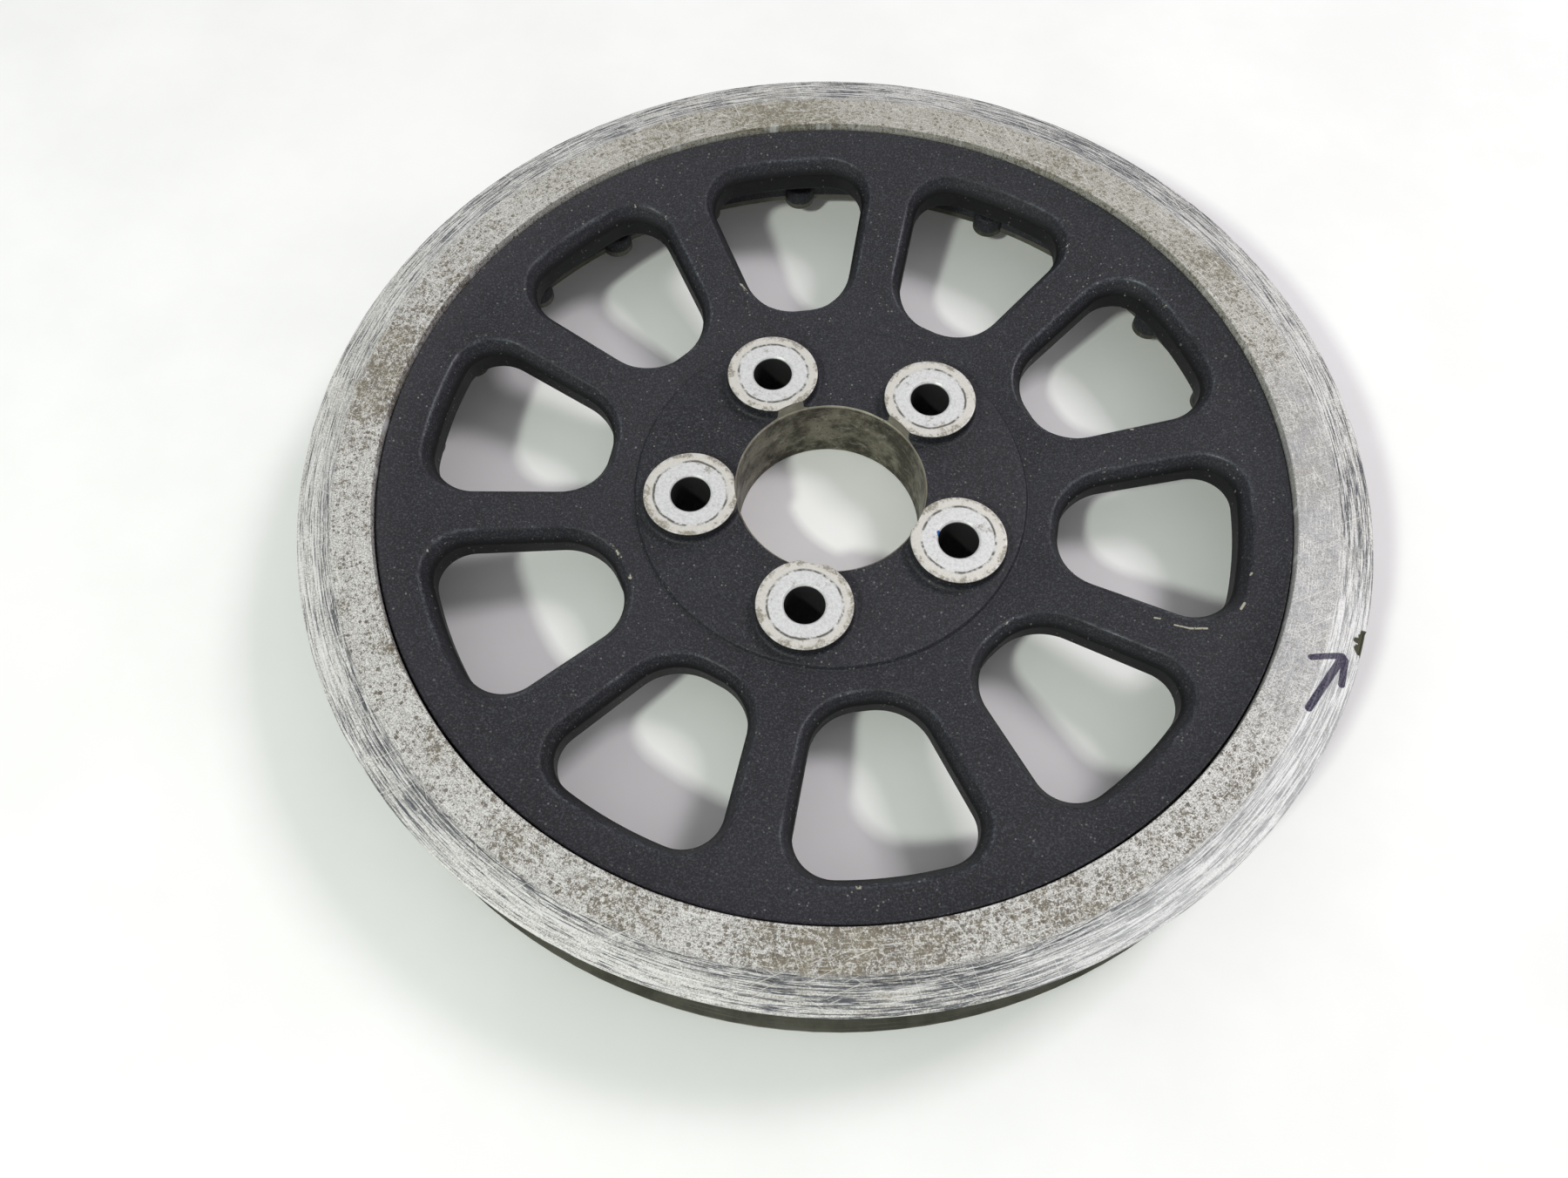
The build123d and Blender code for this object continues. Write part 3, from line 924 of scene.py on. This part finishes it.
def stained_bore():
    """Bore wall: bare metal under an olive-brown film with streaks round it."""
    s = Shader("stained_bore", 0.5)
    around = s.vector(s.times(s.angle, 5), s.times(s.z, 420), 0.0)
    streak = s.noise(1, 6, 0.75, around, 1.0)
    patch = s.noise(70, 6, 0.75)
    fine = s.noise(1100, 4, 0.8)
    colour = s.mix(s.step(patch, 0.4, 0.6), (0.035, 0.029, 0.017), (0.18, 0.165, 0.12))
    colour = s.mix(s.step(streak, 0.52, 0.7, 0, 0.75), colour, (0.36, 0.34, 0.28))
    colour = s.mix(s.step(streak, 0.3, 0.42, 0.6, 0), colour, (0.03, 0.025, 0.015))
    colour = s.mix(s.step(fine, 0.52, 0.66, 0, 0.75), colour, (0.02, 0.018, 0.012))
    top_edge = s.height(HUB_TOP - 0.7, HUB_TOP - 0.2)
    colour = s.mix(s.times(top_edge, 0.5), colour, (0.42, 0.39, 0.32))
    s.bump(patch, 0.05)
    s.bump(fine, 0.02)
    return s.finish(colour, s.step(patch, 0.3, 0.7, 0.6, 0.4))


def machined_face():
    """Bare mounting face: fine turning rings under a dull oxide."""
    s = Shader("machined_face", 0.4)
    patch = s.noise(90, 6, 0.7)
    turning = s.turned(3000, 4)
    colour = s.mix(s.step(patch, 0.35, 0.65), (0.2, 0.19, 0.17), (0.42, 0.41, 0.4))
    colour = s.mix(s.step(turning, 0.5, 0.66, 0, 0.5), colour, (0.6, 0.6, 0.59))
    colour = s.mix(s.height(0.8, 1.6), colour, (0.03, 0.03, 0.03))
    s.bump(turning, 0.01)
    return s.finish(colour, s.step(patch, 0.3, 0.7, 0.5, 0.36))


def belt_worn():
    """Belt teeth: coat polished by the belt on the tips, dusty in the spaces."""
    s = Shader("belt_worn", 0.0, 0.5)
    tips = s.times(s.reach(TIP_R - 0.6, TIP_R - 0.1), s.step(s.noise(300, 5, 0.7), 0.35, 0.6))
    dust = s.step(s.noise(60, 5, 0.6), 0.3, 0.7)
    colour = s.mix(dust, (0.03, 0.03, 0.032), (0.055, 0.053, 0.048))
    colour = s.mix(s.times(tips, 0.7), colour, (0.2, 0.2, 0.2))
    s.bump(s.noise(900, 3, 0.6), 0.03)
    return s.finish(colour, s.blend(tips, 0.6, 0.35))


def grimy_ring():
    """Inboard flange: aluminium under belt dust and road grime."""
    s = Shader("grimy_ring", 0.5)
    patch = s.noise(50, 6, 0.7)
    turning = s.turned(3000, 6)
    colour = s.mix(s.step(patch, 0.3, 0.7), (0.05, 0.05, 0.036), (0.13, 0.125, 0.1))
    colour = s.mix(s.step(turning, 0.5, 0.7, 0, 0.4), colour, (0.2, 0.2, 0.18))
    s.bump(patch, 0.04)
    return s.finish(colour, s.step(patch, 0.3, 0.7, 0.65, 0.45))


def screw_metal():
    """Dull steel screws with dirt in the sockets."""
    s = Shader("screw_metal", 0.9)
    patch = s.noise(400, 5, 0.7)
    colour = s.mix(s.step(patch, 0.35, 0.65), (0.12, 0.11, 0.095), (0.34, 0.33, 0.31))
    s.bump(s.noise(1500, 3, 0.6), 0.02)
    return s.finish(colour, s.step(patch, 0.3, 0.7, 0.55, 0.35))


def table_top():
    """Plain pale floor."""
    s = Shader("table_top", 0.0, 0.4)
    cloud = s.step(s.noise(14, 4, 0.6), 0.3, 0.7)
    return s.finish(s.mix(cloud, (0.82, 0.82, 0.812), (0.86, 0.86, 0.855)), 0.5)


# ---------------------------------------------------------------- the pulley
casting = Skin()
web_points, web_marks = web_sector()
casting.around(WINDOWS, 0, web_points, closed=True, flip=True, mark=web_marks)
casting.around(WINDOWS, 180 / WINDOWS, rib(), flip=True)
casting.around(BOLTS, BOLT_START, hub_top_sector(), closed=True, flip=True)
casting.grid(hub_edge(), closed=True, flip=True)
casting.grid(hub_back_edge(), closed=True)
casting.grid(dish_edge(), closed=True, flip=True)
casting.grid(rim_wall(), closed=True)
casting.around(LUGS, 0, lug(), closed=True)
casting.piece("casting", powder_coat(), "pulley_casting")

faces = Skin()
faces.around(BOLTS, BOLT_START, boss_face(), closed=True, flip=True)
faces.piece("boss_faces", bare_boss(), "pulley_casting")

mounting = Skin()
mounting.around(BOLTS, BOLT_START, hub_back_sector(), closed=True)
mounting.piece("mounting_face", machined_face(), "pulley_casting")

bore = Skin()
bore.grid(bore_wall(), closed=True)
bore.piece("bore_wall", stained_bore(), "pulley_casting")

teeth = Skin()
teeth.grid(toothed_band(), closed=True)
teeth.piece("belt_teeth", belt_worn(), "pulley_casting", sharp=50)

ring = Skin()
ring_points, ring_marks = ring_grid()
ring.grid(ring_points, closed=True, flip=True, mark=ring_marks)
ring.piece("outboard_ring", bare_ring(), "outboard_flange_ring")


# ---------------------------------------------------------------- pieces shown as packed
def dress(node, material):
    """Gives a CAD node its material and small bevels that catch the light."""
    part = frame["nodes"][node]
    part.data.materials.clear()
    part.data.materials.append(material)
    edge = part.modifiers.new("edge", "BEVEL")
    edge.width = 0.15 * MM
    edge.segments = 2
    edge.limit_method = "ANGLE"
    edge.angle_limit = radians(50)


dress("inboard_flange_ring", grimy_ring())
dress("flange_screws", screw_metal())

# ---------------------------------------------------------------- stage and light
bpy.ops.mesh.primitive_plane_add(size=16)
floor = bpy.context.object
floor.name = "floor"
floor.data.materials.append(table_top())

world = bpy.data.worlds.new("studio")
world.use_nodes = True
sky = world.node_tree.nodes["Background"].inputs
sky["Color"].default_value = (0.98, 0.98, 1.0, 1)
sky["Strength"].default_value = 0.56
bpy.context.scene.world = world


def softbox(name, bearing, rise, distance, size, power, colour):
    """Square soft light aimed at the middle of the pulley; distance and size in metres."""
    light = bpy.data.lights.new(name, "AREA")
    light.size = size
    light.energy = power
    light.color = colour
    obj = bpy.data.objects.new(name, light)
    bpy.context.scene.collection.objects.link(obj)
    b, e = radians(bearing), radians(rise)
    obj.location = Vector((cos(b) * cos(e), sin(b) * cos(e), sin(e))) * distance
    obj.rotation_euler = (-obj.location).to_track_quat("-Z", "Y").to_euler()


softbox("key", -122, 48, 1.6, 0.14, 12.5, (0.92, 1.0, 0.89))
softbox("fill", 41, 53, 1.6, 0.4, 10, (1.0, 0.94, 0.985))

# ---------------------------------------------------------------- camera, as fitted to the photo
AZIMUTH = radians(11.78)
ELEVATION = radians(64.25)
ROLL = radians(-0.551)
DISTANCE = 324.34
TARGET = Vector((-5.471, -42.942, RIM_TOP))
FOCAL_LENGTH = 27.664
SENSOR_WIDTH = 36

back = Vector((sin(AZIMUTH) * cos(ELEVATION), -cos(AZIMUTH) * cos(ELEVATION), sin(ELEVATION)))
level = Vector((cos(AZIMUTH), sin(AZIMUTH), 0))
upright = back.cross(level)
right = level * cos(ROLL) + upright * sin(ROLL)
up = upright * cos(ROLL) - level * sin(ROLL)

lens = bpy.data.cameras.new("camera")
lens.lens = FOCAL_LENGTH
lens.sensor_width = SENSOR_WIDTH
lens.sensor_fit = "HORIZONTAL"
lens.clip_start = 0.01
camera = bpy.data.objects.new("camera", lens)
bpy.context.scene.collection.objects.link(camera)
turn = Matrix((right, up, back)).transposed().to_4x4()
camera.matrix_world = Matrix.Translation((TARGET + back * DISTANCE) * MM) @ turn
bpy.context.scene.camera = camera

bpy.context.scene.view_settings.view_transform = "Standard"
bpy.context.view_layer.update()
